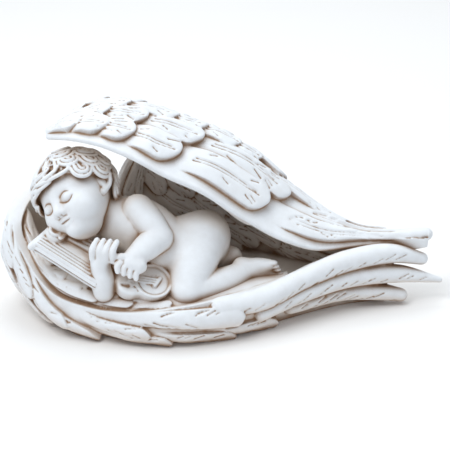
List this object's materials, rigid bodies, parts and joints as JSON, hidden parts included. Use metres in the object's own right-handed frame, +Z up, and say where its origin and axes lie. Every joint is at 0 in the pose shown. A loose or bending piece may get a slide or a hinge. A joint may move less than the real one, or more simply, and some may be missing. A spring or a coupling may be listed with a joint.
{
  "type": "stone putto statue",
  "caption": "Sleeping putto lying on a small lyre, cradled between folded feathered wings, cast whole as a stone garden ornament that rests on its flat underside.",
  "frame": {"origin": "on the ground, under the middle of the statue's box", "axes": "+X from the putto's head to the wing tips, -Y out of the open front that the putto faces, +Z up"},
  "size_m": [0.3, 0.1264, 0.1398],
  "materials": {
    "cast_stone": "matte"
  },
  "bodies": {
    "root": {"statue": "cast_stone"}
  },
  "joints": []
}
